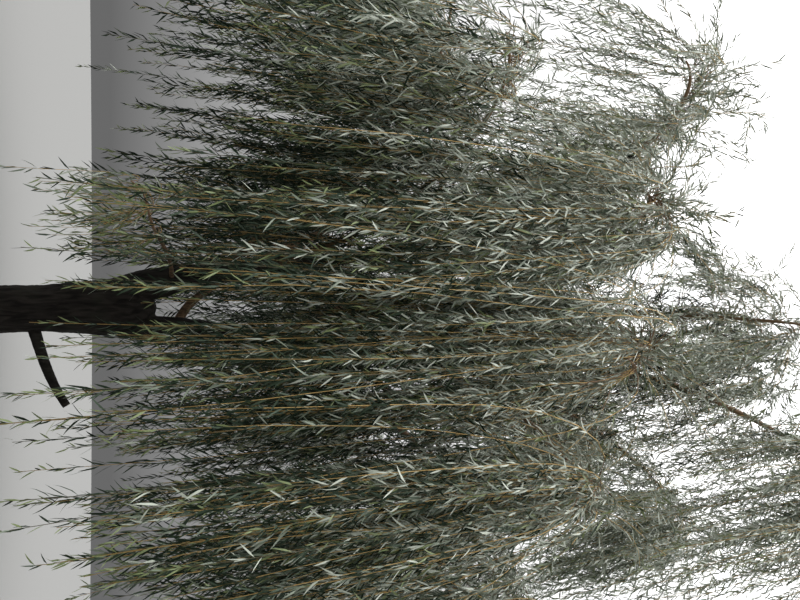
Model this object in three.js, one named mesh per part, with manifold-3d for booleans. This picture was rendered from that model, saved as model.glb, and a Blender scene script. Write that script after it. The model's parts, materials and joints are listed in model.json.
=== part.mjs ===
// A weeping willow about eleven metres tall: a short trunk that forks at head height, arching boughs,
// and curtains of thin hanging twigs with long narrow leaves. Each leaf blade stands for a small spray.
// Units are millimetres, +Z is up, and the origin is the centre of the flat cut under the trunk.
import * as THREE from 'three';
import { mergeVertices } from 'three/addons/utils/BufferGeometryUtils.js';
import Module from 'manifold-3d';

const wasm = await Module();
wasm.setup();

// Trunk
const trunkHeight = 2020;
const trunkRadius = 218;
const trunkLean = -15;
const trunkSides = 18;
const trunkRings = 11;
const crotchHalfWidth = 290;
const forkLevel = 2160;
const flareSpread = 0.55;
const flareHeight = 260;
const flareRoots = 5;

// Limbs: a taper from foot to tip, a collar at the foot, and clear joints between pieces
const mainSides = 9;
const boughSides = 6;
const limbSteps = 6;
const limbCrowding = 1.3;
const limbBend = 0.35;
const collar = 0.35;
const collarFade = 0.07;
const jointGap = 0.35;
const limbClearance = 35;

// Stems and hanging twigs of the foliage
const stemSides = 5;
const stemSteps = 6;
const stemTaper = [0.97, 0.32];
const twigSides = 3;
const twigSteps = 4;
const twigRadius = [9, 5];
const twigRise = [60, 360];
const innerHang = 0.4;
const twigApart = 130;
const shootRoots = [0.5, 0.9];
const shootLength = [850, 1200];
const spaceMargin = 22;
const seamMerge = 1;

// Leaf blades
const leafLength = [560, 820];
const leafHalfWidth = 54;
const leafThickness = 16;
const leafWidestAt = 0.4;
const leafSunk = 6;
const leafLean = [10, 24];
const leafEvery = 730;
const leafPastTip = 300;
const leafApart = 78;
const bladeChecks = [0.25, 0.4, 0.55, 0.7, 0.85, 1];

const bark = new THREE.MeshStandardMaterial({ color: 0x4a4138, roughness: 0.95, metalness: 0 });
const leaves = new THREE.MeshStandardMaterial({ color: 0x6e7a64, roughness: 0.7, metalness: 0 });
const youngLeaves = new THREE.MeshStandardMaterial({ color: 0x8f8a5a, roughness: 0.7, metalness: 0 });

// The two limbs of the fork and the dead stub low on the right. A limb leaves its parent at a share of
// the parent's length. Its tip lies at an azimuth in degrees anticlockwise from +X, a reach from the
// trunk's axis and a height above the ground. thick holds the radii at foot and tip, and lift the
// slopes there in degrees above level.
const forkPlan = [
  { name: 'limb_left', parent: 'trunk', at: 0.72, sideways: -130, leave: 186, azimuth: 222, reach: 2300,
    height: 6900, thick: [118, 36], lift: [76, 35] },
  { name: 'leader', parent: 'trunk', at: 0.72, sideways: 165, leave: 8, azimuth: -30, reach: 400,
    height: 9500, thick: [102, 32], lift: [84, 80], arrive: 221 },
];
const stubPlan = [
  { name: 'cut_stub', parent: 'trunk', at: 0.40, azimuth: 352, reach: 920, height: 1220,
    thick: [62, 36], lift: [16, 32] },
];

// The boughs, each with the mass of foliage that goes on from its tip. A mass has the reach of its
// stem's end, the height of its arch, the height of its lowest twig ends, half its width along the
// crown, and its number of hanging twigs and rising shoots.
const boughPlan = [
  { name: 'upper_back_left', parent: 'leader', at: 0.22, azimuth: 135, reach: 780, height: 5950,
    thick: [72, 44], lift: [62, 66],
    mass: { outer: 2750, arch: 9300, low: 4600, halfWidth: 1450, twigs: 6 } },
  { name: 'upper_front', parent: 'leader', at: 0.55, azimuth: 274, reach: 670, height: 7100,
    thick: [52, 35], lift: [50, 60],
    mass: { outer: 2500, arch: 8600, low: 6300, halfWidth: 1400, twigs: 6 } },
  { name: 'upper_right_front', parent: 'leader', at: 0.44, azimuth: 310, reach: 1340, height: 7570,
    thick: [64, 41], lift: [45, 70],
    mass: { outer: 3600, arch: 9800, low: 5200, halfWidth: 1350, twigs: 6 } },
  { name: 'upper_right', parent: 'leader', at: 0.50, azimuth: 355, reach: 1280, height: 6880,
    thick: [54, 35], lift: [35, 64],
    mass: { outer: 3200, arch: 9300, low: 5000, halfWidth: 1300, twigs: 6 } },
  { name: 'upper_back_right', parent: 'leader', at: 0.58, azimuth: 40, reach: 1100, height: 7630,
    thick: [50, 34], lift: [45, 66],
    mass: { outer: 2700, arch: 9700, low: 4800, halfWidth: 1400, twigs: 6 } },
  { name: 'upper_back', parent: 'leader', at: 0.46, azimuth: 87, reach: 1060, height: 6700,
    thick: [56, 37], lift: [48, 54],
    mass: { outer: 2750, arch: 9500, low: 4700, halfWidth: 1400, twigs: 6 } },
  { name: 'upper_left', parent: 'limb_left', at: 0.50, azimuth: 180, reach: 1040, height: 6590,
    thick: [54, 35], lift: [66, 72],
    mass: { outer: 2650, arch: 9300, low: 4900, halfWidth: 1300, twigs: 6 } },
  { name: 'lower_left_front', parent: 'limb_left', at: 0.28, azimuth: 230, reach: 1340, height: 4020,
    thick: [46, 31], lift: [30, 40],
    mass: { outer: 3450, arch: 4900, low: 1850, halfWidth: 950, twigs: 6 } },
  { name: 'lower_front_left', parent: 'limb_left', at: 0.40, azimuth: 251, reach: 1210, height: 5120,
    thick: [50, 33], lift: [42, 55],
    mass: { outer: 3050, arch: 6350, low: 1800, halfWidth: 920, twigs: 7 } },
  { name: 'lower_front', parent: 'leader', at: 0.20, azimuth: 279, reach: 1000, height: 4800,
    thick: [44, 30], lift: [48, 50],
    mass: { outer: 2700, arch: 6500, low: 850, halfWidth: 750, twigs: 6 } },
  { name: 'lower_front_right', parent: 'leader', at: 0.26, azimuth: 302, reach: 1120, height: 4680,
    thick: [48, 32], lift: [42, 44],
    mass: { outer: 3150, arch: 5750, low: 1000, halfWidth: 920, twigs: 7 } },
  { name: 'lower_right_front', parent: 'leader', at: 0.20, azimuth: 333, reach: 1340, height: 4330,
    thick: [50, 33], lift: [44, 44],
    mass: { outer: 3900, arch: 5600, low: 1200, halfWidth: 1200, twigs: 6 } },
  { name: 'lower_right', parent: 'leader', at: 0.31, azimuth: 10, reach: 1410, height: 5080,
    thick: [52, 34], lift: [38, 45],
    mass: { outer: 3950, arch: 6300, low: 1400, halfWidth: 1300, twigs: 6 } },
  { name: 'lower_back_right', parent: 'leader', at: 0.14, azimuth: 50, reach: 1240, height: 3970,
    thick: [48, 32], lift: [44, 49],
    mass: { outer: 3800, arch: 5600, low: 1100, halfWidth: 1300, twigs: 6 } },
  { name: 'lower_back', parent: 'leader', at: 0.28, azimuth: 90, reach: 1130, height: 4880,
    thick: [48, 32], lift: [44, 40],
    mass: { outer: 3700, arch: 6100, low: 1500, halfWidth: 1300, twigs: 6 } },
  { name: 'lower_back_left', parent: 'leader', at: 0.085, azimuth: 128, reach: 1180, height: 3700,
    thick: [50, 33], lift: [12, 50],
    mass: { outer: 3800, arch: 5500, low: 1200, halfWidth: 1300, twigs: 6 } },
  { name: 'lower_left_back', parent: 'limb_left', at: 0.24, azimuth: 163, reach: 1330, height: 4600,
    thick: [50, 33], lift: [46, 52],
    mass: { outer: 3900, arch: 6100, low: 1500, halfWidth: 1250, twigs: 6 } },
  { name: 'lower_left', parent: 'limb_left', at: 0.18, azimuth: 197, reach: 1370, height: 3900,
    thick: [46, 31], lift: [40, 48],
    mass: { outer: 3850, arch: 5200, low: 1300, halfWidth: 1100, twigs: 6 } },
  { name: 'drooping', parent: 'limb_left', at: 0.11, azimuth: 238, reach: 1250, height: 1960,
    thick: [26, 16], lift: [-4, -22],
    mass: { outer: 1900, arch: 1900, low: 760, halfWidth: 380, twigs: 4, scale: 0.6, look: youngLeaves } },
];
for (const bough of boughPlan) {
  bough.mass.name = `foliage_${bough.name}`;
  bough.name = `bough_${bough.name}`;
}

// The masses that go on from the fork's own two limbs
forkPlan[0].mass = { name: 'foliage_upper_left_front', outer: 3350, arch: 7250, low: 4600, halfWidth: 1100,
  twigs: 6, shoots: 2 };
forkPlan[1].mass = { name: 'foliage_top', outer: 1300, arch: 10200, low: 7300, halfWidth: 1250,
  twigs: 6, shoots: 2 };

const mix = (a, b, t) => a + (b - a) * t;
const radians = THREE.MathUtils.degToRad;

// A repeatable draw of numbers from 0 to 1
function seeded(seed) {
  let state = seed;
  return () => {
    state = (state * 16807) % 2147483647;
    return state / 2147483647;
  };
}

// The direction at an azimuth and a slope above level, both in degrees
function heading(azimuth, slope) {
  const level = Math.cos(radians(slope));
  return new THREE.Vector3(Math.cos(radians(azimuth)) * level, Math.sin(radians(azimuth)) * level,
    Math.sin(radians(slope)));
}

// The point at an azimuth, a reach from the trunk's axis and a height
function place(azimuth, reach, height) {
  return heading(azimuth, 0).multiplyScalar(reach).setZ(height);
}

// A curve walked in straight steps that crowd towards its foot. A bar follows the same steps, so
// that what is rooted on the walk lies inside the bar.
class Walk extends THREE.Curve {
  constructor(curve, steps, crowding = 1) {
    super();
    this.curve = curve;
    this.steps = steps;
    this.crowding = crowding;
    this.frames = this.computeFrenetFrames(steps, false);
  }
  share(t) {
    return Math.pow(t, this.crowding);
  }
  getPoint(t) {
    const step = Math.min(this.steps - 1, Math.floor(t * this.steps));
    const from = this.curve.getPoint(this.share(step / this.steps));
    const to = this.curve.getPoint(this.share((step + 1) / this.steps));
    return from.lerp(to, t * this.steps - step);
  }
  getTangentAt(t) {
    return this.curve.getTangent(this.share(t));
  }
  // The direction square to the walk at a turn in degrees. A bar's corners start at a turn of 0.
  sideways(t, turn) {
    const step = Math.round(t * this.steps);
    return this.frames.binormals[step].clone().multiplyScalar(Math.sin(radians(turn)))
      .addScaledVector(this.frames.normals[step], Math.cos(radians(turn)));
  }
  lines() {
    const ends = (step) => [this.getPoint(step / this.steps), this.getPoint((step + 1) / this.steps)];
    return Array.from({ length: this.steps }, (_, step) => new THREE.Line3(...ends(step)));
  }
}

// A solid from a closed geometry, its shared corners merged
function solidOf(geometry) {
  const bare = geometry.clone();
  bare.deleteAttribute('normal');
  bare.deleteAttribute('uv');
  const merged = mergeVertices(bare, 1e-3);
  return new wasm.Manifold(new wasm.Mesh({
    numProp: 3,
    vertProperties: merged.attributes.position.array,
    triVerts: new Uint32Array(merged.index.array),
  }));
}

// A round bar along a walk, its radius at each share of the curve given by radiusAt
function bar(walk, sides, radiusAt) {
  const geometry = new THREE.CylinderGeometry(1, 1, 1, sides, walk.steps);
  const corners = geometry.attributes.position;
  const corner = new THREE.Vector3();
  for (let i = 0; i < corners.count; i++) {
    corner.fromBufferAttribute(corners, i);
    const step = Math.round((corner.y + 0.5) * walk.steps);
    const radius = radiusAt(walk.share(step / walk.steps));
    const point = walk.getPoint(step / walk.steps)
      .addScaledVector(walk.frames.binormals[step], corner.x * radius)
      .addScaledVector(walk.frames.normals[step], corner.z * radius);
    corners.setXYZ(i, point.x, point.y, point.z);
  }
  return solidOf(geometry);
}

// The biggest single body of a solid, so that no loose scrap is kept
function biggest(solid) {
  return solid.decompose().reduce((a, b) => (b.volume() > a.volume() ? b : a));
}

const closest = new THREE.Vector3();
function distanceTo(line, point) {
  return line.closestPointToPoint(point, true, closest).distanceTo(point);
}

// True where every point keeps a distance from all the lines
function apart(points, lines, distance) {
  return points.every((point) => lines.every((line) => distanceTo(line, point) > distance));
}

const curves = {
  trunk: new THREE.CubicBezierCurve3(
    new THREE.Vector3(0, 0, 0),
    new THREE.Vector3(0, 0, trunkHeight * 0.4),
    new THREE.Vector3(trunkLean * 2, 0, trunkHeight * 0.7),
    new THREE.Vector3(trunkLean, 0, trunkHeight),
  ),
};

// The trunk below its fork: a flared foot with root ridges, a slight waist and a rounded crotch
function trunkBody(grow = 0) {
  const geometry = new THREE.CylinderGeometry(1, 1, 1, trunkSides, trunkRings);
  const corners = geometry.attributes.position;
  for (let i = 0; i < corners.count; i++) {
    const x = corners.getX(i);
    const z = corners.getZ(i);
    const share = 1 - Math.pow(0.5 - corners.getY(i), 1.35);
    const centre = curves.trunk.getPoint(share);
    const ridges = 0.62 + 0.38 * Math.cos(flareRoots * Math.atan2(-z, x) + 0.7);
    const flare = 1 + flareSpread * ridges * Math.exp(-centre.z / flareHeight);
    const crotch = THREE.MathUtils.smoothstep(centre.z, trunkHeight * 0.45, trunkHeight * 0.86);
    const rounded = Math.sqrt(Math.max(0.02, 1 - Math.pow(Math.max(0, (share - 0.82) / 0.18), 2)));
    const wide = mix(trunkRadius, crotchHalfWidth, crotch) * flare * rounded + grow;
    const deep = trunkRadius * flare * rounded + grow;
    const lift = share > 0.999 ? grow : 0;
    corners.setXYZ(i, centre.x + x * wide, centre.y - z * deep, centre.z + lift);
  }
  return solidOf(geometry);
}

// A limb's centreline, from inside its parent to its tip
function limbCurve(plan) {
  const start = curves[plan.parent].getPoint(plan.at);
  start.x += plan.sideways ?? 0;
  const tip = place(plan.azimuth, plan.reach, plan.height);
  const across = tip.clone().sub(start);
  const leave = plan.leave ?? THREE.MathUtils.radToDeg(Math.atan2(across.y, across.x));
  const bend = across.length() * limbBend;
  return new THREE.CubicBezierCurve3(
    start,
    start.clone().addScaledVector(heading(leave, plan.lift[0]), bend),
    tip.clone().addScaledVector(heading(plan.arrive ?? plan.azimuth, plan.lift[1]), -bend),
    tip,
  );
}

// A limb's radius: it tapers to its tip, and a bough has a collar where it leaves its parent
function limbRadius(plan, share) {
  const swell = plan.parent === 'trunk' ? 0 : collar * Math.exp(-share / collarFade);
  return mix(...plan.thick, Math.pow(share, 0.8)) * (1 + swell);
}

// A limb, grown outwards by a little when it is used to cut its neighbours
function limbSolid(plan, grow = 0) {
  const walk = new Walk(curves[plan.name], limbSteps, limbCrowding);
  const sides = plan.parent === 'trunk' ? mainSides : boughSides;
  return bar(walk, sides, (share) => limbRadius(plan, share) + grow);
}

// The limbs, each cut clear of those made before it. The two that make the fork begin inside the
// trunk, and what lies below the fork's level is fused to it.
const solids = [];
const cutters = [trunkBody(jointGap)];
const limbLines = [];
let trunk = trunkBody();
for (const plan of [...forkPlan, ...boughPlan, ...stubPlan]) {
  curves[plan.name] = limbCurve(plan);
  let solid = limbSolid(plan);
  if (forkPlan.includes(plan)) {
    trunk = trunk.add(solid.trimByPlane([0, 0, -1], -forkLevel));
    solid = solid.trimByPlane([0, 0, 1], forkLevel + jointGap);
  } else {
    solid = cutters.reduce((left, cutter) => left.subtract(cutter), solid);
  }
  solids.push({ name: plan.name, solid: biggest(solid), look: bark });
  cutters.push(limbSolid(plan, jointGap));
  const walk = new Walk(curves[plan.name], 20);
  walk.lines().forEach((line, i) => limbLines.push({ line, radius: limbRadius(plan, i / walk.steps) }));
}
solids.unshift({ name: 'trunk', solid: trunk, look: bark });

// The stem of a mass: it goes on from its limb's tip, arches outwards and bends over
function stemOf(limb, mass) {
  const ahead = curves[limb.name].getTangent(1);
  const span = mass.outer - limb.reach;
  const start = curves[limb.name].getPoint(1).addScaledVector(ahead, jointGap);
  const curve = new THREE.CubicBezierCurve3(
    start,
    start.clone().addScaledVector(ahead, span * 0.45),
    place(limb.azimuth, limb.reach + span * 0.8, mass.arch),
    place(limb.azimuth, mass.outer, mix(mass.arch, mass.low, 0.14)),
  );
  return new Walk(curve, stemSteps);
}

// Points down the middle of a mass: along its stem, then down the curtain below
function spineOf(stem, low) {
  const along = [0.25, 0.5, 0.75, 1].map((t) => stem.getPoint(t));
  const end = stem.getPoint(1);
  const hanging = new THREE.Line3(end, new THREE.Vector3(end.x * 0.96, end.y * 0.96, low));
  const down = [1, 2, 3, 4, 5, 6].map((i) => hanging.at(i / 6, new THREE.Vector3()));
  return [...along, ...down];
}

const masses = [...boughPlan, ...forkPlan].map((limb, index) => {
  const stem = stemOf(limb, limb.mass);
  const spine = spineOf(stem, limb.mass.low);
  const seed = 7919 + 131 * index;
  return { shoots: 0, scale: 1, look: leaves, ...limb.mass, seed, azimuth: limb.azimuth, stem, spine,
    stemRadius: limb.thick[1] };
});

// True where a point is in a mass's own space, nearer to its middle than to any other mass's, and
// clear of the limbs
function inSpace(point, mass, clearance) {
  const nearest = (other) => Math.min(...other.spine.map((p) => p.distanceTo(point)));
  const own = nearest(mass) + spaceMargin;
  return masses.every((other) => other === mass || nearest(other) > own)
    && limbLines.every(({ line, radius }) => distanceTo(line, point) > radius + clearance);
}

// A hanging twig: it leaves the stem sideways, rises a little, turns over and hangs. Those nearer the
// trunk are shorter.
function twigWalk(mass, draw) {
  const from = mix(0.1, 1, draw());
  const side = (draw() * 2 - 1) * mass.halfWidth * mix(0.55, 1, from);
  const out = mix(-0.25, 0.3, draw()) * mass.halfWidth;
  const rise = mix(...twigRise, draw()) * mass.scale;
  const low = mix(mass.low, mix(mass.low, mass.arch, 0.42), Math.pow(draw(), 1.5));
  const root = mass.stem.getPoint(from);
  const hang = Math.max((root.z - low) * mix(innerHang, 1, from), 500 * mass.scale);
  const shift = heading(mass.azimuth + 90, 0).multiplyScalar(side);
  shift.addScaledVector(heading(mass.azimuth, 0), out);
  const across = (share, z) => root.clone().addScaledVector(shift, share).setZ(z);
  const curve = new THREE.CubicBezierCurve3(
    root,
    across(0.5, root.z + rise),
    across(1, root.z + rise * 0.4),
    across(1.06, root.z - hang),
  );
  return new Walk(curve, twigSteps);
}

// An upright shoot that stands above the arch
function shootWalk(mass, draw) {
  const root = mass.stem.getPoint(mix(...shootRoots, draw()));
  const lean = heading(mass.azimuth + mix(-70, 70, draw()), mix(62, 80, draw()));
  const length = mix(...shootLength, draw());
  const middle = root.clone().addScaledVector(lean, length * 0.5);
  const end = root.clone().addScaledVector(lean, length);
  end.z -= length * 0.04;
  return new Walk(new THREE.QuadraticBezierCurve3(root, middle, end), 2);
}

// A keeled blade of four faces, its foot at the origin, its tip up +Y and widest nearer to its foot
function bladeGeometry(length, scale) {
  const shear = (leafWidestAt - 0.5) * length / leafThickness;
  return new THREE.TetrahedronGeometry(Math.sqrt(3))
    .rotateZ(-Math.PI / 4)
    .scale(leafHalfWidth * scale / Math.SQRT2, length / 2 / Math.SQRT2, leafThickness / 2)
    .translate(0, length / 2, leafThickness / 2)
    .applyMatrix4(new THREE.Matrix4().makeShear(0, 0, 0, 0, 0, shear));
}

// The leaf blades along a twig, their feet sunk into the middles of its three sides in turn. One that
// would leave the mass's space or touch a limb, a twig or a blade is tried elsewhere, then skipped.
function leavesOf(twig, mass, others, draw) {
  const span = twig.getLength();
  const count = Math.max(3, Math.round(span / (leafEvery * mass.scale)));
  const blades = [];
  let turn = 60;
  for (let i = 0; i < count; i++) {
    for (let tries = 0; tries < 9; tries++) {
      const length = mix(...leafLength, draw()) * mass.scale;
      const last = 1 - (length - leafPastTip * mass.scale) / span;
      const share = twig.getUtoTmapping(mix(0.1, last, (i + 0.6 * draw()) / (count - 0.4)));
      const ahead = twig.getTangent(share);
      turn += 120;
      const spread = twig.sideways(share, turn + mix(-14, 14, draw()));
      spread.addScaledVector(ahead, -spread.dot(ahead)).normalize();
      const lean = radians(mix(...leafLean, draw()));
      const pointing = ahead.clone().multiplyScalar(Math.cos(lean)).addScaledVector(spread, Math.sin(lean));
      const foot = twig.getPoint(share).addScaledVector(pointing, -leafSunk * mass.scale);
      const checks = bladeChecks.map((t) => foot.clone().addScaledVector(pointing, length * t));
      if (!checks.every((point) => inSpace(point, mass, limbClearance + leafHalfWidth * 0.5))) continue;
      if (!apart(checks, others, leafApart * mass.scale)) continue;
      const face = new THREE.Vector3().crossVectors(pointing, spread).normalize();
      const back = new THREE.Vector3().crossVectors(face, pointing);
      const seat = new THREE.Matrix4().makeBasis(face, pointing, back).setPosition(foot);
      blades.push({
        line: new THREE.Line3(foot, checks.at(-1)),
        solid: solidOf(bladeGeometry(length, mass.scale).applyMatrix4(seat)),
      });
      others.push(blades.at(-1).line);
      break;
    }
  }
  return blades;
}

// The twigs of a mass: its rising shoots, then hanging ones drawn until enough of them keep apart
function twigsOf(mass, draw) {
  const twigs = Array.from({ length: mass.shoots }, () => shootWalk(mass, draw));
  const wanted = mass.shoots + mass.twigs;
  const placed = [];
  for (let tries = 0; tries < 300 && twigs.length < wanted; tries++) {
    const twig = twigWalk(mass, draw);
    const hanging = [0.5, 0.6, 0.7, 0.8, 0.9, 1].map((t) => twig.getPoint(t));
    const checks = [twig.getPoint(0.3), ...hanging];
    if (!checks.every((point) => inSpace(point, mass, limbClearance))) continue;
    if (!apart(hanging, placed, twigApart * mass.scale)) continue;
    placed.push(...twig.lines().slice(1));
    twigs.push(twig);
  }
  return twigs;
}

// One mass of foliage: its stem, the twigs that grow from it, and their leaves, all fused
function massSolid(mass) {
  const draw = seeded(mass.seed);
  const parts = [bar(mass.stem, stemSides, (share) => mass.stemRadius * mix(...stemTaper, share))];
  const twigs = twigsOf(mass, draw);
  const bladeLines = [];
  for (const twig of twigs) {
    const others = [mass.stem, ...twigs].filter((walk) => walk !== twig).flatMap((walk) => walk.lines());
    const blades = leavesOf(twig, mass, others.concat(bladeLines), draw);
    parts.push(bar(twig, twigSides, (share) => mix(...twigRadius, share)));
    parts.push(...blades.map((blade) => blade.solid));
    bladeLines.push(...blades.map((blade) => blade.line));
  }
  const fused = parts.reduce((whole, part) => whole.add(part)).simplify(seamMerge);
  const touching = cutters.filter((cutter) => fused.intersect(cutter).volume() > 0);
  return biggest(touching.reduce((left, cutter) => left.subtract(cutter), fused));
}

for (const mass of masses) {
  solids.push({ name: mass.name, solid: massSolid(mass), look: mass.look });
}

// The solids as named meshes
const willow = new THREE.Group();
willow.name = 'weeping_willow';
for (const { name, solid, look } of solids) {
  const { vertProperties, triVerts } = solid.getMesh();
  const geometry = new THREE.BufferGeometry();
  geometry.setAttribute('position', new THREE.BufferAttribute(new Float32Array(vertProperties), 3));
  geometry.setIndex(new THREE.BufferAttribute(new Uint32Array(triVerts), 1));
  geometry.computeVertexNormals();
  const mesh = new THREE.Mesh(geometry, look);
  mesh.name = name;
  willow.add(mesh);
}

export default willow;
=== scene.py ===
import json
import math

import bmesh
import bpy
import numpy as np
from mathutils import Matrix, Vector, noise

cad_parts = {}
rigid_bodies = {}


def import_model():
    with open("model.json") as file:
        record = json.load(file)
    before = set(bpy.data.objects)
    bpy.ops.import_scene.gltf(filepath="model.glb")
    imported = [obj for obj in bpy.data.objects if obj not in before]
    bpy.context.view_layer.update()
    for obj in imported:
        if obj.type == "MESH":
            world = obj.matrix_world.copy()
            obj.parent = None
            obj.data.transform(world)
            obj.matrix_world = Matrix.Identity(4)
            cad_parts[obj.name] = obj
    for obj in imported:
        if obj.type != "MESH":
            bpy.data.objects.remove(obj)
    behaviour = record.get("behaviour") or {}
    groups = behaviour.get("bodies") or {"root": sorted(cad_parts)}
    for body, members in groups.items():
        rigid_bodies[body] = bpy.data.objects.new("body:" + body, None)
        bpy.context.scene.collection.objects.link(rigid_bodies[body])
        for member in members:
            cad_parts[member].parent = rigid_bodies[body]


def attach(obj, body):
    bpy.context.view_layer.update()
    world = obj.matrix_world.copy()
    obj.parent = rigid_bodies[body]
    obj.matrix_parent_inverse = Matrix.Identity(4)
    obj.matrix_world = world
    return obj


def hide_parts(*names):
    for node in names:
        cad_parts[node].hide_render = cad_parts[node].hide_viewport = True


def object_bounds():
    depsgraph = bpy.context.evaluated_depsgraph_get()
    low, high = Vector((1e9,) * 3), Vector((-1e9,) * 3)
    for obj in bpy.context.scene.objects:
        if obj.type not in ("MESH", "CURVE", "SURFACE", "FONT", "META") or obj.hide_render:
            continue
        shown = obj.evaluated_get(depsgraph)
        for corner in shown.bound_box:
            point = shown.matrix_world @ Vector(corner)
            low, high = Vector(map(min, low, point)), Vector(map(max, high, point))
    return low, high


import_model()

cadLow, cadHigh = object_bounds()
print("packed willow loaded, box", [round(v, 2) for v in (*cadLow, *cadHigh)])

scene = bpy.context.scene
boxLow, boxHigh = np.array(cadLow), np.array(cadHigh)

# The tree's plan in metres. A limb leaves its parent at a share of its length, and its tip lies at an
# azimuth, a reach from the trunk and a height. thick holds the radii and lift the slopes at foot and tip.
trunk = {"height": 2.02, "radius": 0.218, "lean": -0.015, "bends": (0.4, 0.7), "crotch": 0.29,
         "crotchFrom": 0.45, "crotchOver": 0.41, "flareSpread": 0.55, "flareHeight": 0.26, "flareRoots": 5,
         "flareTurn": 0.7, "flareWave": (0.62, 0.38), "roundedFrom": 0.72, "roundedOver": 0.28,
         "roundedLeast": 0.02}
limbShape = {"bend": 0.35, "collar": 0.35, "collarFade": 0.07, "taper": 0.8, "crowding": 1.3,
             "stretches": 20}

forkPlan = [
    dict(name="limb_left", parent="trunk", at=0.72, sideways=-0.130, leave=186, azimuth=222, reach=2.30,
         height=6.90, thick=(0.118, 0.036), lift=(76, 35),
         mass=dict(name="upper_left_front", outer=3.35, arch=7.25, low=4.60, half=1.10, shoots=2)),
    dict(name="leader", parent="trunk", at=0.72, sideways=0.165, leave=8, azimuth=-30, reach=0.40,
         height=9.50, thick=(0.102, 0.032), lift=(84, 80), arrive=221,
         mass=dict(name="top", outer=1.30, arch=10.20, low=7.30, half=1.25, shoots=2)),
]
stubPlan = [
    dict(name="cut_stub", parent="trunk", at=0.40, azimuth=352, reach=0.92, height=1.22,
         thick=(0.062, 0.036), lift=(16, 32)),
]
boughRows = [
    # name, parent, share, azimuth, reach, height, radii, slopes, and its mass: outer, arch, low, half width
    ("upper_back_left", "leader", 0.22, 135, 0.78, 5.95, (0.072, 0.044), (62, 66), 2.75, 9.3, 4.6, 1.45),
    ("upper_front", "leader", 0.55, 274, 0.67, 7.10, (0.052, 0.035), (50, 60), 2.50, 8.6, 6.3, 1.40),
    ("upper_right_front", "leader", 0.44, 310, 1.34, 7.57, (0.064, 0.041), (45, 70), 3.60, 9.8, 5.2, 1.35),
    ("upper_right", "leader", 0.50, 355, 1.28, 6.88, (0.054, 0.035), (35, 64), 3.20, 9.3, 5.0, 1.30),
    ("upper_back_right", "leader", 0.58, 40, 1.10, 7.63, (0.050, 0.034), (45, 66), 2.70, 9.7, 4.8, 1.40),
    ("upper_back", "leader", 0.46, 87, 1.06, 6.70, (0.056, 0.037), (48, 54), 2.75, 9.5, 4.7, 1.40),
    ("upper_left", "limb_left", 0.50, 180, 1.04, 6.59, (0.054, 0.035), (66, 72), 2.65, 9.3, 4.9, 1.30),
    ("lower_left_front", "limb_left", 0.28, 230, 1.34, 4.02, (0.046, 0.031), (30, 40), 3.45, 4.9, 1.85, 0.95),
    ("lower_front_left", "limb_left", 0.40, 251, 1.21, 5.12, (0.050, 0.033), (42, 55), 3.05, 6.35, 1.8, 0.92),
    ("lower_front", "leader", 0.20, 279, 1.00, 4.80, (0.044, 0.030), (48, 50), 2.70, 6.5, 0.85, 0.75),
    ("lower_front_right", "leader", 0.26, 302, 1.12, 4.68, (0.048, 0.032), (42, 44), 3.15, 5.75, 1.0, 0.92),
    ("lower_right_front", "leader", 0.20, 333, 1.34, 4.33, (0.050, 0.033), (44, 44), 3.90, 5.6, 1.2, 1.20),
    ("lower_right", "leader", 0.31, 10, 1.41, 5.08, (0.052, 0.034), (38, 45), 3.95, 6.3, 1.4, 1.30),
    ("lower_back_right", "leader", 0.14, 50, 1.24, 3.97, (0.048, 0.032), (44, 49), 3.80, 5.6, 1.1, 1.30),
    ("lower_back", "leader", 0.28, 90, 1.13, 4.88, (0.048, 0.032), (44, 40), 3.70, 6.1, 1.5, 1.30),
    ("lower_back_left", "leader", 0.085, 128, 1.18, 3.70, (0.050, 0.033), (12, 50), 3.80, 5.5, 1.2, 1.30),
    ("lower_left_back", "limb_left", 0.24, 163, 1.33, 4.60, (0.050, 0.033), (46, 52), 3.90, 6.1, 1.5, 1.25),
    ("lower_left", "limb_left", 0.18, 197, 1.37, 3.90, (0.046, 0.031), (40, 48), 3.85, 5.2, 1.3, 1.10),
    ("drooping", "limb_left", 0.11, 238, 1.25, 1.96, (0.026, 0.016), (-4, -22), 1.90, 1.9, 0.76, 0.38),
]
boughPlan = []
for name, parent, at, azimuth, reach, height, thick, lift, outer, arch, low, half in boughRows:
    boughPlan.append(dict(name="bough_" + name, parent=parent, at=at, azimuth=azimuth, reach=reach,
                          height=height, thick=thick, lift=lift,
                          mass=dict(name=name, outer=outer, arch=arch, low=low, half=half)))
boughPlan[-1]["mass"]["scale"] = 0.6  # the drooping spray beside the trunk is a small one


def mix(a, b, t):
    return a + (b - a) * t


def unit(v):
    return v / np.maximum(np.linalg.norm(v, axis=-1, keepdims=True), 1e-9)


def seeded(seed, factor=16807, modulus=2147483647):  # the source's repeatable draws from 0 to 1
    state = [seed]

    def draw():
        state[0] = state[0] * factor % modulus
        return state[0] / modulus
    return draw


def heading(azimuth, slope=0.0):  # the direction at an azimuth and a slope, in degrees
    a, s = math.radians(azimuth), math.radians(slope)
    return np.array([math.cos(a) * math.cos(s), math.sin(a) * math.cos(s), math.sin(s)])


def place(azimuth, reach, height):
    point = heading(azimuth) * reach
    point[2] = height
    return point


def bezier(corners, t):  # points of one cubic (4, 3) or of many (n, 4, 3) at the shares t
    t = np.asarray(t, float)
    weights = np.stack([(1 - t) ** 3, 3 * t * (1 - t) ** 2, 3 * t * t * (1 - t), t ** 3], -1)
    return weights @ corners


def paceAt(corners, t):  # a third of a cubic's pace at a share
    d = np.diff(corners, axis=0)
    return d[0] * (1 - t) ** 2 + d[1] * 2 * t * (1 - t) + d[2] * t * t


def slopeAt(corners, t):
    return unit(paceAt(corners, t))


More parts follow.
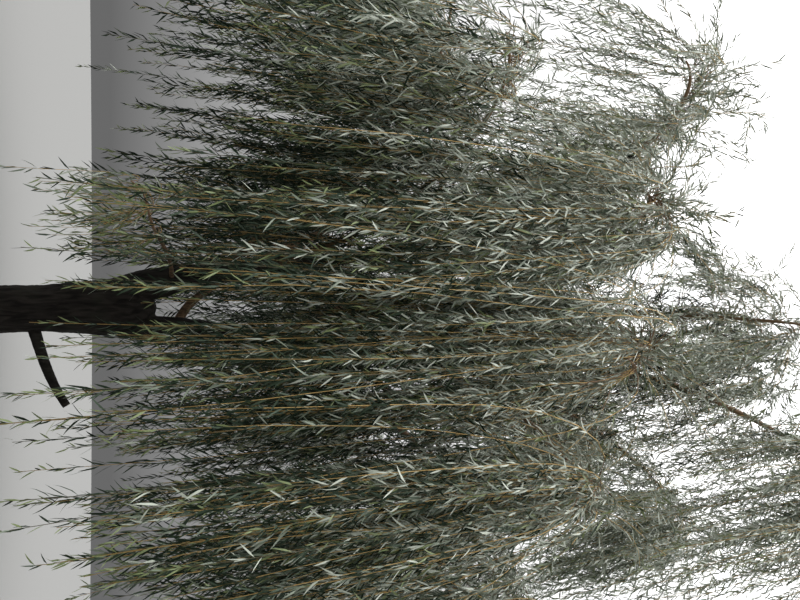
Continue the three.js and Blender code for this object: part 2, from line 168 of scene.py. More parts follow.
def stretchOf(corners, a, b):  # the cubic's piece between two shares
    start, end = bezier(corners, [a, b])
    return np.array([start, start + paceAt(corners, a) * (b - a), end - paceAt(corners, b) * (b - a), end])


curves = {"trunk": np.array([(0, 0, 0), (0, 0, trunk["height"] * trunk["bends"][0]),
                             (trunk["lean"] * 2, 0, trunk["height"] * trunk["bends"][1]),
                             (trunk["lean"], 0, trunk["height"])], float)}


def limbCurve(plan):
    start = bezier(curves[plan["parent"]], plan["at"])
    start[0] += plan.get("sideways", 0)
    tip = place(plan["azimuth"], plan["reach"], plan["height"])
    across = tip - start
    leave = plan.get("leave", math.degrees(math.atan2(across[1], across[0])))
    bend = np.linalg.norm(across) * limbShape["bend"]
    return np.array([start, start + heading(leave, plan["lift"][0]) * bend,
                     tip - heading(plan.get("arrive", plan["azimuth"]), plan["lift"][1]) * bend, tip])


def limbRadius(plan, share):  # a limb that leaves another limb swells at its foot
    collar = 0 if plan["parent"] == "trunk" else limbShape["collar"]
    swell = collar * np.exp(-share / limbShape["collarFade"])
    return mix(*plan["thick"], share ** limbShape["taper"]) * (1 + swell)


limbFrom, limbTo, limbThick = [], [], []  # every limb as short straight lines, to keep twigs clear of it
for plan in forkPlan + boughPlan + stubPlan:
    curves[plan["name"]] = limbCurve(plan)
    points = bezier(curves[plan["name"]], np.linspace(0, 1, limbShape["stretches"] + 1))
    limbFrom.append(points[:-1])
    limbTo.append(points[1:])
    limbThick.append(limbRadius(plan, np.arange(limbShape["stretches"]) / limbShape["stretches"]))
limbFrom, limbTo, limbThick = np.concatenate(limbFrom), np.concatenate(limbTo), np.concatenate(limbThick)


def toLines(points, starts, ends):  # distances from points (n, 3) to straight lines (m, 3)
    along = ends - starts
    share = ((points[:, None] - starts) * along).sum(-1) / (along * along).sum(-1)
    nearest = starts + along * np.clip(share, 0, 1)[..., None]
    return np.linalg.norm(points[:, None] - nearest, axis=-1)


# A mass goes on from its limb's tip with an arching stem. Its spine runs along the stem and down the
# middle of what hangs from it, and its space is what lies nearer to its spine than to any other.
massShape = {"leadOut": 0.45, "archAt": 0.8, "endDrop": 0.14, "tuck": 0.96, "spineSteps": 6,
             "margin": 0.022, "firstSeed": 7919, "seedStep": 131}


def layOutMass(index, limb):
    mass = {"scale": 1.0, "shoots": 0, **limb["mass"]}
    ahead = slopeAt(curves[limb["name"]], 1.0)
    span = mass["outer"] - limb["reach"]
    start = curves[limb["name"]][3]
    crest = place(limb["azimuth"], limb["reach"] + span * massShape["archAt"], mass["arch"])
    end = place(limb["azimuth"], mass["outer"], mix(mass["arch"], mass["low"], massShape["endDrop"]))
    mass["stem"] = np.array([start, start + ahead * span * massShape["leadOut"], crest, end])
    foot = np.array([end[0] * massShape["tuck"], end[1] * massShape["tuck"], mass["low"]])
    steps = massShape["spineSteps"]
    down = end + (foot - end) * np.arange(1, steps + 1)[:, None] / steps
    mass["spine"] = np.concatenate([bezier(mass["stem"], [0.25, 0.5, 0.75, 1]), down])
    mass["seed"] = massShape["firstSeed"] + massShape["seedStep"] * index
    mass["azimuth"] = limb["azimuth"]
    mass["bough"] = curves[limb["name"]]
    mass["stemRadius"] = limb["thick"][1]
    return mass


masses = [layOutMass(index, limb) for index, limb in enumerate(boughPlan + forkPlan)]
spines = np.stack([mass["spine"] for mass in masses])


def inSpace(points, mass, clearance):  # in the mass's own space, and clear of the limbs
    gaps = np.linalg.norm(points[:, None, None] - spines, axis=-1).min(-1)
    own = masses.index(mass)
    others = np.delete(gaps, own, 1).min(1)
    if (others <= gaps[:, own] + massShape["margin"]).any():
        return False
    return bool((toLines(points, limbFrom, limbTo) > limbThick + clearance).all())


def newMaterial(name, colour, roughness, specular=0.5):
    material = bpy.data.materials.new(name)
    material.use_nodes = True
    shader = material.node_tree.nodes["Principled BSDF"]
    shader.inputs["Base Color"].default_value = (*colour, 1)
    shader.inputs["Roughness"].default_value = roughness
    shader.inputs["Specular IOR Level"].default_value = specular
    return material


# The shade look is painted shade: a near-black leaf colour for leaves deep in the crown and low down.
leafLooks = {  # colour, roughness, shine
    "shade": ((0.018, 0.030, 0.017), 0.55, 0.08),
    "deep": ((0.047, 0.070, 0.045), 0.48, 0.20),
    "grey": ((0.170, 0.205, 0.150), 0.42, 0.45),
    "silver": ((0.425, 0.463, 0.385), 0.44, 0.50),
    "young": ((0.170, 0.210, 0.090), 0.48, 0.35),
}
twigLooks = {  # colour, roughness
    "twig_amber": ((0.54, 0.35, 0.12), 0.55),
    "twig_olive": ((0.150, 0.130, 0.075), 0.6),
    "stem_tan": ((0.245, 0.155, 0.090), 0.7),
}
leafMaterials = [newMaterial("leaf_" + name, *look) for name, look in leafLooks.items()]
twigMaterials = [newMaterial(name, *look) for name, look in twigLooks.items()]


def meshPiece(name, points, triangles, materials, looks):  # one piece from arrays
    mesh = bpy.data.meshes.new(name)
    mesh.vertices.add(len(points))
    mesh.vertices.foreach_set("co", np.ascontiguousarray(points, np.float32).ravel())
    mesh.loops.add(triangles.size)
    mesh.loops.foreach_set("vertex_index", triangles.astype(np.int32).ravel())
    mesh.polygons.add(len(triangles))
    mesh.polygons.foreach_set("loop_start", np.arange(len(triangles), dtype=np.int32) * 3)
    mesh.polygons.foreach_set("material_index", looks.astype(np.int32))
    for material in materials:
        mesh.materials.append(material)
    mesh.update()
    mesh.validate()
    piece = bpy.data.objects.new(name, mesh)
    scene.collection.objects.link(piece)
    return piece


def tubes(lines, radii, sides):  # closed tubes along many lines (n, m, 3), their radii (n, m)
    ahead = unit(np.gradient(lines, axis=1))
    chord = lines[:, -1] - lines[:, 0]
    level = np.stack([-chord[:, 1], chord[:, 0], np.zeros(len(chord))], -1)
    level = np.where(np.linalg.norm(level, axis=1, keepdims=True) < 1e-4, [1.0, 0, 0], level)
    level = unit(level)[:, None]
    first = unit(level - ahead * (level * ahead).sum(-1, keepdims=True))
    second = np.cross(ahead, first)
    turn = np.arange(sides) * 2 * math.pi / sides
    spread = first[:, :, None] * np.cos(turn)[:, None] + second[:, :, None] * np.sin(turn)[:, None]
    points = lines[:, :, None] + spread * radii[:, :, None, None]
    count, rings = lines.shape[:2]
    a = (np.arange(rings - 1)[:, None] * sides + np.arange(sides)).ravel()
    b = (np.arange(rings - 1)[:, None] * sides + np.roll(np.arange(sides), -1)).ravel()
    walls = np.concatenate([np.stack([a, b, b + sides], 1), np.stack([a, b + sides, a + sides], 1)])
    fan = np.array([(0, i + 1, i) for i in range(1, sides - 1)])
    faces = np.concatenate([walls, fan, fan[:, ::-1] + (rings - 1) * sides])
    copies = faces[None] + (np.arange(count) * rings * sides)[:, None, None]
    return points.reshape(-1, 3), copies.reshape(-1, 3)


# How many twigs each mass has. A pair is for a mass at the back and for one near the camera.
foliage = {
    "mainTwigs": (26, 34), "fineTwigs": (180, 215), "innerTwigs": 40, "sprouts": 36,
    "smallSpray": {"main": 9, "fine": 26, "inner": 2, "sprouts": 4}, "mainEvenness": 0.4,
    "near": {"upper_left_front", "lower_left_front", "lower_front_left", "lower_front",
             "lower_front_right", "upper_front", "upper_right_front", "drooping"},
    "airy": {"upper_left_front": 0.32, "upper_front": 0.60, "upper_left": 0.62, "top": 0.52,
             "upper_right_front": 1.1, "upper_back": 0.9, "upper_back_left": 0.9, "upper_back_right": 0.9},
    "moreInner": {"upper_left_front": 2.5, "upper_right_front": 3.0, "upper_right": 1.6,
                  "lower_front": 1.5, "lower_front_right": 1.5},
    "moreSprouts": {"lower_front_left": 2.0, "lower_front": 1.7, "upper_left_front": 1.6,
                    "upper_front": 1.7, "lower_front_right": 1.5},
}


def twigCounts(mass):
    if mass["small"]:
        return foliage["smallSpray"]
    name, near = mass["name"], mass["near"]
    airy = foliage["airy"].get(name, 1)
    return {"main": int(foliage["mainTwigs"][near] * mix(airy, 1, foliage["mainEvenness"])),
            "fine": int(foliage["fineTwigs"][near] * airy),
            "inner": int(foliage["innerTwigs"] * airy * foliage["moreInner"].get(name, 1)),
            "sprouts": int(foliage["sprouts"] * foliage["moreSprouts"].get(name, 1))}


mainShape = {"roots": (0.1, 1), "innerHalf": 0.55, "outward": (-0.25, 0.3), "rise": (0.06, 0.36),
             "shoulder": 0.4, "swing": 1.06, "innerHang": 0.4, "leastHang": 0.5, "highest": 0.42,
             "lowBias": 1.5, "apart": 0.11, "clear": 0.035, "tries": 420}


def mainTwig(mass, draw):  # the source's hanging twig: sideways, up a little, over and down
    share = mix(*mainShape["roots"], draw())
    side = (draw() * 2 - 1) * mass["half"] * mix(mainShape["innerHalf"], 1, share)
    out = mix(*mainShape["outward"], draw()) * mass["half"]
    rise = mix(*mainShape["rise"], draw()) * mass["scale"]
    highest = mix(mass["low"], mass["arch"], mainShape["highest"])
    low = mix(mass["low"], highest, draw() ** mainShape["lowBias"])
    root = bezier(mass["stem"], share)
    hang = (root[2] - low) * mix(mainShape["innerHang"], 1, share)
    hang = max(hang, mainShape["leastHang"] * mass["scale"])
    shift = heading(mass["azimuth"] + 90) * side + heading(mass["azimuth"]) * out

    def across(part, z):
        point = root + shift * part
        point[2] = z
        return point
    return np.array([root, across(0.5, root[2] + rise),
                     across(1, root[2] + rise * mainShape["shoulder"]),
                     across(mainShape["swing"], root[2] - hang)])


def mainTwigs(mass, draw, wanted):  # as in the source, those that stay apart and in the mass's space
    found, startLines, endLines = [], np.zeros((0, 3)), np.zeros((0, 3))
    for _ in range(mainShape["tries"]):
        if len(found) == wanted:
            break
        twig = mainTwig(mass, draw)
        hanging = bezier(twig, [0.5, 0.6, 0.7, 0.8, 0.9, 1])
        if not inSpace(np.concatenate([bezier(twig, [0.3]), hanging]), mass, mainShape["clear"]):
            continue
        apart = mainShape["apart"] * mass["scale"]
        if len(found) and toLines(hanging, startLines, endLines).min() < apart:
            continue
        steps = bezier(twig, [0.25, 0.5, 0.75, 1])
        startLines = np.concatenate([startLines, steps[:-1]])
        endLines = np.concatenate([endLines, steps[1:]])
        found.append(twig)
    return found


# A fine twig leaves a main one. It either follows it, which makes a rope, or hangs free beside it. A pair
# in ropes or freeSpread is for a mass at the back and for one near the camera.
fineShape = {
    "bunching": 2.6, "ropes": (0.35, 0.65), "ropeSpread": (0.03, 0.15), "ropeFrom": (0.05, 0.6),
    "ropeTo": (0.75, 1.0), "ropeApart": (0, 0.5, 1, 1.1), "rootBias": (1.1, 2.0), "lastRoot": 0.85,
    "leastSpread": 0.03, "spreadBias": (1, 1.7), "freeSpread": (1.15, 0.62),
    "wide": {"upper_front": 1.6, "upper_left_front": 1.3, "top": 1.0, "lower_front_left": 1.05,
             "lower_front": 1.05, "lower_front_right": 0.95},
    "usualEnds": 0.75, "highest": 0.72,
    "ends": {"lower_left_front": 0.4, "lower_front_left": 0.4, "lower_front": 2.6,
             "lower_front_right": 2.4, "lower_right_front": 2.2, "lower_right": 1.6},
    "drop": (0.82, 1.0), "leastDrop": (0.35, 0.8), "lift": (0.0, 0.10), "fall": 0.30,
    "forward": (0.14, 0.16, 0.17), "sideways": (0.45, 0.95, 1.1),
}


def ropeTwig(mass, twig, rng):
    side = heading(rng.uniform(0, 360)) * rng.uniform(*fineShape["ropeSpread"]) * mass["scale"]
    rope = stretchOf(twig, rng.uniform(*fineShape["ropeFrom"]), rng.uniform(*fineShape["ropeTo"]))
    return rope + np.outer(fineShape["ropeApart"], side)


def freeTwig(mass, twig, rng):
    share = rng.beta(*fineShape["rootBias"]) * fineShape["lastRoot"]
    root = bezier(twig, share)
    ahead = slopeAt(twig, share)
    level = ahead * [1, 1, 0]
    azimuth = rng.uniform(0, 360)
    wide = fineShape["wide"].get(mass["name"], fineShape["freeSpread"][mass["near"]])
    spread = mix(fineShape["leastSpread"], wide, rng.beta(*fineShape["spreadBias"])) * mass["scale"]
    side = heading(azimuth) * spread
    high = rng.random() ** fineShape["ends"].get(mass["name"], fineShape["usualEnds"])
    drop = root[2] - mix(mass["low"], mix(mass["low"], mass["arch"], fineShape["highest"]), high)
    drop = max(drop * rng.uniform(*fineShape["drop"]), rng.uniform(*fineShape["leastDrop"]) * mass["scale"])
    lift = rng.uniform(*fineShape["lift"]) * mass["scale"]
    forward, sideways = fineShape["forward"], fineShape["sideways"]
    one = root + ahead * drop * forward[0] + side * sideways[0]
    one[2] += lift
    two = root + level * drop * forward[1] + side * sideways[1]
    two[2] = root[2] - drop * fineShape["fall"]
    three = root + level * drop * forward[2] + side * sideways[2]
    three[2] = root[2] - drop
    return [root, one, two, three]


def fineTwigs(mass, mains, rng, count):  # long main twigs bear more, and a few of them bear the most
    rows = []
    lengths = np.array([np.linalg.norm(np.diff(bezier(t, np.linspace(0, 1, 9)), axis=0), axis=1).sum()
                        for t in mains])
    shares = lengths * rng.random(len(mains)) ** fineShape["bunching"]
    for pick in rng.choice(len(mains), count, p=shares / shares.sum()):
        follows = rng.random() < fineShape["ropes"][mass["near"]]
        rows.append((ropeTwig if follows else freeTwig)(mass, mains[pick], rng))
    return np.array(rows)


innerShape = {"onBough": 0.4, "boughShares": (0.45, 1.0), "stemShares": (0, 0.4), "spread": (0.1, 0.7),
              "drop": (0.7, 2.4), "rise": 0.12, "shoulder": 0.25, "swing": 1.1}


def innerTwigs(mass, rng, count):  # shorter ones that hang from the bough and from the stem's first part
    rows = []
    for _ in range(count):
        onBough = rng.random() < innerShape["onBough"]
        share = rng.uniform(*innerShape["boughShares" if onBough else "stemShares"])
        root = bezier(mass["bough" if onBough else "stem"], share)
        side = heading(rng.uniform(0, 360)) * rng.uniform(*innerShape["spread"]) * mass["scale"]
        drop = min(rng.uniform(*innerShape["drop"]) * mass["scale"], root[2] - mass["low"])
        rows.append([root, root + side * 0.5 + [0, 0, innerShape["rise"] * mass["scale"]],
                     root + side - [0, 0, drop * innerShape["shoulder"]],
                     root + side * innerShape["swing"] - [0, 0, drop]])
    return np.array(rows)


shootShape = {"roots": (0.5, 0.9), "lengths": (0.85, 1.2), "turns": (-70, 70), "slopes": (62, 80),
              "nod": 0.04}


def uprights(mass, draw):  # the source's rising shoots, bowed a little
    rows = []
    for _ in range(mass["shoots"]):
        root = bezier(mass["stem"], mix(*shootShape["roots"], draw()))
        turn = mix(*shootShape["turns"], draw())
        lean = heading(mass["azimuth"] + turn, mix(*shootShape["slopes"], draw()))
        length = mix(*shootShape["lengths"], draw())
        middle = root + lean * length * 0.5
        end = root + lean * length - [0, 0, length * shootShape["nod"]]
        rows.append([root, mix(root, middle, 2 / 3), mix(end, middle, 2 / 3), end])
    return rows


def nodding(root, reach, nod, corners, early):  # a shoot that rises by its reach and nods at its tip
    return [root, root + reach * corners[0], root + reach * corners[1] + nod * early, root + reach + nod]


lesserShape = {
    "count": 16, "corners": (0.35, 0.7), "nod": 0.12, "early": 0.4,
    "stem": {"roots": (0.15, 0.85), "slopes": (48, 80), "lengths": (0.30, 0.95)},
    "shoot": {"roots": (0.15, 0.90), "slopes": (15, 60), "lengths": (0.20, 0.50)},
}


def lesserShoots(mass, shoots, rng):  # from the stem beside each shoot, and sideways from the shoot
    rows = []
    for shoot in shoots:
        for i in range(lesserShape["count"]):
            kind = lesserShape["stem" if i % 2 else "shoot"]
            root = bezier(mass["stem"] if i % 2 else shoot, rng.uniform(*kind["roots"]))
            lean = heading(rng.uniform(0, 360), rng.uniform(*kind["slopes"]))
            length = rng.uniform(*kind["lengths"])
            nod = heading(rng.uniform(0, 360)) * length * lesserShape["nod"]
            rows.append(nodding(root, lean * length, nod, lesserShape["corners"], lesserShape["early"]))
    return np.array(rows).reshape(-1, 4, 3)


sproutShape = {"onStem": 0.6, "stemShares": (0.05, 0.95), "twigShares": (0.02, 0.42), "turns": (-95, 95),
               "lengths": (0.15, 0.95), "lengthBias": 1.3, "slopes": (35, 85), "corners": (0.4, 0.75),
               "nod": 0.35, "early": 0.3, "droop": 0.25}


def sprouts(mass, mains, rng, count):  # short shoots that rise from the arches and nod
    rows = []
    for _ in range(count):
        if rng.random() < sproutShape["onStem"]:
            curve, share = mass["stem"], rng.uniform(*sproutShape["stemShares"])
        else:
            curve, share = mains[rng.integers(len(mains))], rng.uniform(*sproutShape["twigShares"])
        root = bezier(curve, share)
        azimuth = mass["azimuth"] + rng.uniform(*sproutShape["turns"])
        length = mix(*sproutShape["lengths"], rng.random() ** sproutShape["lengthBias"]) * mass["scale"]
        up = heading(azimuth, rng.uniform(*sproutShape["slopes"]))
        nod = heading(azimuth) * length * sproutShape["nod"]
        sprout = nodding(root, up * length, nod, sproutShape["corners"], sproutShape["early"])
        sprout[3] = sprout[3] - [0, 0, length * sproutShape["droop"]]
        rows.append(sprout)
    return np.array(rows)


wander = {"amount": 0.075, "phases": (0, 6.28), "waves": (0.8, 2.6), "pace": 4, "reach": (0.3, 1.0)}


def sway(lines, rng, amount):  # a slow wander that grows towards the free end
    t = np.linspace(0, 1, lines.shape[1])
    for axis in (0, 1):
        phase = rng.uniform(*wander["phases"], (len(lines), 1))
        waves = rng.uniform(*wander["waves"], (len(lines), 1))
        reach = rng.uniform(*wander["reach"], (len(lines), 1)) * amount
        lines[:, :, axis] += reach * t * (np.sin(phase + waves * t * wander["pace"]) - np.sin(phase))
    return lines


window = {"from": -0.15, "to": 0.08, "behind": -1.2, "floor": (2.95, 3.6), "share": 0.8, "least": 0.3}


def openWindow(lines, rng):  # most strands before the trunk end higher, so that it shows
    tip = lines[:, -1]
    before = (tip[:, 0] > window["from"]) & (tip[:, 0] < window["to"]) & (tip[:, 1] < window["behind"])
    before &= rng.random(len(lines)) < window["share"]
    floor = rng.uniform(*window["floor"], len(lines))
    for i in np.flatnonzero(before & (tip[:, 2] < floor)):
        top = lines[i, :, 2].max()
        if top > floor[i] + window["least"]:
            lines[i, :, 2] = top - (top - lines[i, :, 2]) * (top - floor[i]) / (top - lines[i, -1, 2])


# Twigs stay inside the box of the solids and clear of the limbs. A shoot is thicker than a twig. olive is
# the share of olive twigs in a mass at the back, in one near the camera and in the small spray.
twigShape = {"steps": 10, "crowding": 1.15, "boxSpare": 0.05, "boxLimit": 0.04, "limbGap": 0.01,
             "heldSteps": 3, "radii": (0.0046, 0.0019), "fullLength": 2.5, "thickness": (0.8, 1.1),
             "shootThick": 1.8, "sides": 3, "olive": (0.55, 0.38, 0.1), "brownRings": 2,
             "stemPoints": 25, "stemSides": 8, "stemTaper": (0.97, 0.30)}
twigShares = np.linspace(0, 1, twigShape["steps"]) ** twigShape["crowding"]


def growTwigs(mass, shoots, mains, counts, rng):  # all twigs of a mass as lines of points
    sure = shoots + mains
    curved = np.concatenate([np.array(sure), fineTwigs(mass, mains, rng, counts["fine"]),
                             innerTwigs(mass, rng, counts["inner"]),
                             sprouts(mass, mains, rng, counts["sprouts"]), lesserShoots(mass, shoots, rng)])
    lines = sway(bezier(curved, twigShares), rng, wander["amount"] * mass["scale"])
    openWindow(lines, rng)
    spare, limit = twigShape["boxSpare"], twigShape["boxLimit"]
    lines[..., :2] = np.clip(lines[..., :2], boxLow[:2] + spare, boxHigh[:2] - spare)
    keep = ((lines >= boxLow + limit) & (lines <= boxHigh - limit)).all((1, 2))
    hanging = lines[:, twigShape["heldSteps"]:].reshape(-1, 3)
    clear = (toLines(hanging, limbFrom, limbTo) > limbThick + twigShape["limbGap"]).all(1)
    keep &= clear.reshape(len(lines), -1).all(1)
    keep[:len(sure)] = True
    return lines[keep]


leafShape = {
    "every": 0.028, "sparser": 1.5, "fewest": 3, "jitter": (0.1, 0.9), "bareFoot": 0.07,
    "bareVary": (0.3, 1.7), "turn": 137.5, "turnVary": (-35, 35), "turnFrom": (0.31, 0.95, 0.05),
    "lean": (12, 54), "droop": (0.30, 0.10),
    "tipFrom": 0.9, "tipRate": 10, "tipSize": 0.55, "sizes": (0.78, 1.12),
    "length": (0.108, 0.152), "width": 0.0068, "widthVary": (0.85, 1.15), "twist": 0.75,
    "bow": (-0.55, 0.22), "hook": 0.14, "farWidth": 1.45, "farLength": 1.15,
    "boxSlack": 0.005, "offGround": 0.02,
}
bladeNear = {"along": (0, 0.36, 0.36, 0.74, 0.74, 1), "across": (0, 1, -1, 0.68, -0.68, 0),
             "faces": [(0, 2, 1), (1, 2, 4), (1, 4, 3), (3, 4, 5)]}
bladeFar = {"along": (0, 0.42, 0.42, 1), "across": (0, 1, -1, 0), "faces": [(0, 2, 1), (1, 2, 3)]}

# Shares of the leaf looks, shade to young: for leaves inside the crown, and for those at its skin low and
# high up. The dark looks inside the crown and low down are painted shade, and the grey and silver looks
# high up at its skin are painted light. A spray of neighbouring leaves has one look, apart from some
# strays and the twigs' tips.
leafColours = {
    "inner": (0.80, 0.15, 0.05, 0.00, 0.00), "low": (0.52, 0.25, 0.13, 0.06, 0.04),
    "high": (0.00, 0.05, 0.28, 0.61, 0.06), "small": (0.02, 0.10, 0.25, 0.13, 0.50),
    "heights": (2.3, 5.1), "skin": (0.62, 0.92), "highSkin": 1.0, "uneven": 0.35,
    "spray": 6, "strays": 0.25, "freshFrom": 0.93, "freshShare": 0.6,
}


def looksOf(foot, tip, mass, rng):  # by height, by reach from the trunk and by spray: painted shade low and inside, painted light high up
    count, young = len(foot), list(leafLooks).index("young")
    lowest, skinFrom = leafColours["heights"][0], leafColours["skin"][0]
    height = np.clip((foot[:, 2] - lowest) / np.ptp(leafColours["heights"]), 0, 1)[:, None]
    reach = np.hypot(foot[:, 0], foot[:, 1]) / mass["outer"]
    reach = reach + rng.uniform(-0.5, 0.5) * leafColours["uneven"]
    skin = (reach[:, None] - skinFrom) / np.ptp(leafColours["skin"]) + height * leafColours["highSkin"]
    skin = np.clip(skin, 0, 1)
    inner, low, high = [np.array(leafColours["small" if mass["small"] else kind])
                        for kind in ("inner", "low", "high")]
    limits = np.cumsum(inner * (1 - skin) + (low * (1 - height) + high * height) * skin, axis=1)
    pick = np.repeat(rng.random(count // leafColours["spray"] + 1), leafColours["spray"])[:count]
    pick = np.where(rng.random(count) < leafColours["strays"], rng.random(count), pick)
    look = np.minimum((pick[:, None] > limits).sum(1), young)
    fresh = (tip > leafColours["freshFrom"]) & (rng.random(count) < leafColours["freshShare"])
    return np.where(fresh, young, look)


def leavesAlong(line, rng, mass):  # feet, directions, backs, sizes and looks of one twig's leaves
    every = leafShape["every"] * (leafShape["sparser"] if mass["small"] else 1)
    steps = np.linalg.norm(np.diff(line, axis=0), axis=1)
    upTo = np.concatenate([[0], np.cumsum(steps)])
    total = upTo[-1]
    count = int(total / every)
    if count < leafShape["fewest"]:
        return None
    at = (np.arange(count) + rng.uniform(*leafShape["jitter"], count)) * every
    at = at[at > total * leafShape["bareFoot"] * rng.uniform(*leafShape["bareVary"])]
    count = len(at)
    foot = np.stack([np.interp(at, upTo, line[:, k]) for k in range(3)], 1)
    step = np.clip(np.searchsorted(upTo, at) - 1, 0, len(steps) - 1)
    ahead = unit(line[step + 1] - line[step])
    turn = rng.uniform(0, 360) + np.arange(count) * leafShape["turn"]
    turn = np.radians(turn + rng.uniform(*leafShape["turnVary"], count))
    level = unit(np.cross(ahead, leafShape["turnFrom"]))
    other = np.cross(ahead, level)
    out = level * np.cos(turn)[:, None] + other * np.sin(turn)[:, None]
    lean = np.radians(rng.uniform(*leafShape["lean"], count))[:, None]
    head = ahead * np.cos(lean) + out * np.sin(lean)
    head[:, 2] -= leafShape["droop"][0] * (1 - np.abs(ahead[:, 2])) + leafShape["droop"][1]
    tip = at / total
    shrunk = mix(1.0, leafShape["tipSize"], (tip - leafShape["tipFrom"]) * leafShape["tipRate"])
    size = np.where(tip > leafShape["tipFrom"], shrunk, 1.0) * rng.uniform(*leafShape["sizes"], count)
    return foot, unit(head), out, size, looksOf(foot, tip, mass, rng)


def leavesOn(lines, rng, mass):  # all leaves of a mass: points (n, corners, 3), triangles and looks
    found = [leavesAlong(line, rng, mass) for line in lines]
    foot, head, back, size, look = [np.concatenate(parts) for parts in zip(*[row for row in found if row])]
    count = len(foot)
    side = unit(np.cross(head, back))
    face = np.cross(side, head)
    twist = rng.normal(0, leafShape["twist"], count)[:, None]
    side, face = side * np.cos(twist) + face * np.sin(twist), face * np.cos(twist) - side * np.sin(twist)
    length = (rng.uniform(*leafShape["length"], count) * size)[:, None]
    width = (leafShape["width"] * mix(*leafShape["widthVary"], rng.random(count)) * np.sqrt(size))[:, None]
    if not mass["near"]:
        width = width * leafShape["farWidth"]
        length = length * leafShape["farLength"]
    bow = rng.uniform(*leafShape["bow"], count)[:, None]
    hook = rng.normal(0, leafShape["hook"], count)[:, None]
    blade = bladeNear if mass["near"] else bladeFar
    points = np.stack([foot + head * length * t + side * (width * w + hook * length * t * t)
                       + face * (bow * length * t * t) for t, w in zip(blade["along"], blade["across"])], 1)
    slack = leafShape["boxSlack"]
    fits = ((points >= boxLow - slack) & (points <= boxHigh + slack)).all((1, 2))
    fits &= (points[:, :, 2] > leafShape["offGround"]).all(1)
    points, look = points[fits], look[fits]
    starts = np.arange(len(points)) * len(blade["along"])
    return points, np.array(blade["faces"])[None] + starts[:, None, None], look


def leafPiece(mass, lines, rng):
    points, triangles, looks = leavesOn(lines, rng, mass)
    piece = meshPiece("leaves_" + mass["name"], points.reshape(-1, 3), triangles.reshape(-1, 3),
                      leafMaterials, np.repeat(looks, triangles.shape[1]))
    return piece, len(points)


def twigPiece(mass, lines, shootCount, rng):  # the twigs and the arching stem that bears them
    sides, stemPoints = twigShape["sides"], twigShape["stemPoints"]
    amber, olive, tan = range(len(twigLooks))
    share = np.tile(twigShares, (len(lines), 1))
    spans = np.linalg.norm(np.diff(lines, axis=1), axis=2).sum(1)[:, None]
    thickness = np.clip(spans / twigShape["fullLength"], *twigShape["thickness"])
    radii = mix(*twigShape["radii"], share) * thickness
    radii[:shootCount] *= twigShape["shootThick"]
    points, triangles = tubes(lines, radii, sides)
    stem = bezier(mass["stem"], np.linspace(0, 1, stemPoints))[None]
    stemRadii = mass["stemRadius"] * mix(*twigShape["stemTaper"], np.linspace(0, 1, stemPoints))[None]
    stemCorners, stemTriangles = tubes(stem, stemRadii, twigShape["stemSides"])
    oliveShare = twigShape["olive"][2 if mass["small"] else mass["near"]]
    tones = np.where(rng.random(len(lines)) < oliveShare, olive, amber)
    looks = np.repeat(tones, len(triangles) // len(lines))
    ring = triangles.min(1) % (len(twigShares) * sides) // sides
    looks[ring < twigShape["brownRings"]] = tan  # a twig's foot is as brown as the stem
    looks = np.concatenate([looks, np.full(len(stemTriangles), tan)])
    return meshPiece("twigs_" + mass["name"], np.concatenate([points, stemCorners]),
                     np.concatenate([triangles, stemTriangles + len(points)]), twigMaterials, looks)


leafTotal = twigTotal = 0
for mass in masses:
    mass["small"], mass["near"] = mass["scale"] < 1, mass["name"] in foliage["near"]
    draw, rng = seeded(mass["seed"]), np.random.default_rng(mass["seed"])
    counts = twigCounts(mass)
    shoots = uprights(mass, draw)
    mains = mainTwigs(mass, draw, counts["main"])
    lines = growTwigs(mass, shoots, mains, counts, rng)
    leaves, leafCount = leafPiece(mass, lines, rng)
    twigs = twigPiece(mass, lines, len(shoots), rng)
    for piece, slot in ((leaves, "young_foliage" if mass["small"] else "foliage"), (twigs, "bark")):
        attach(piece, "root")
        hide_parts("foliage_" + mass["name"])
    print(mass["name"], len(mains), "main twigs,", len(lines), "lines,", leafCount, "leaves")
    leafTotal += len(leaves.data.polygons)
    twigTotal += len(twigs.data.polygons)
print("foliage hung:", leafTotal, "leaf triangles,", twigTotal, "twig triangles")


bark = {"roughness": 0.92, "shine": 0.25, "ridgeDetail": 6.0, "ridgeDistortion": 0.5, "tones": (0.36, 0.66),
        "patchScale": 2.3, "patchDetail": 3.0, "patchEdges": (0.55, 0.72), "bump": 0.7, "bumpDepth": 0.01}


def ramp(nodes, positions, dark=(0, 0, 0), light=(1, 1, 1)):
    node = nodes.new("ShaderNodeValToRGB")
    for element, position, colour in zip(node.color_ramp.elements, positions, (dark, light)):
        element.position, element.color = position, (*colour, 1)
    return node


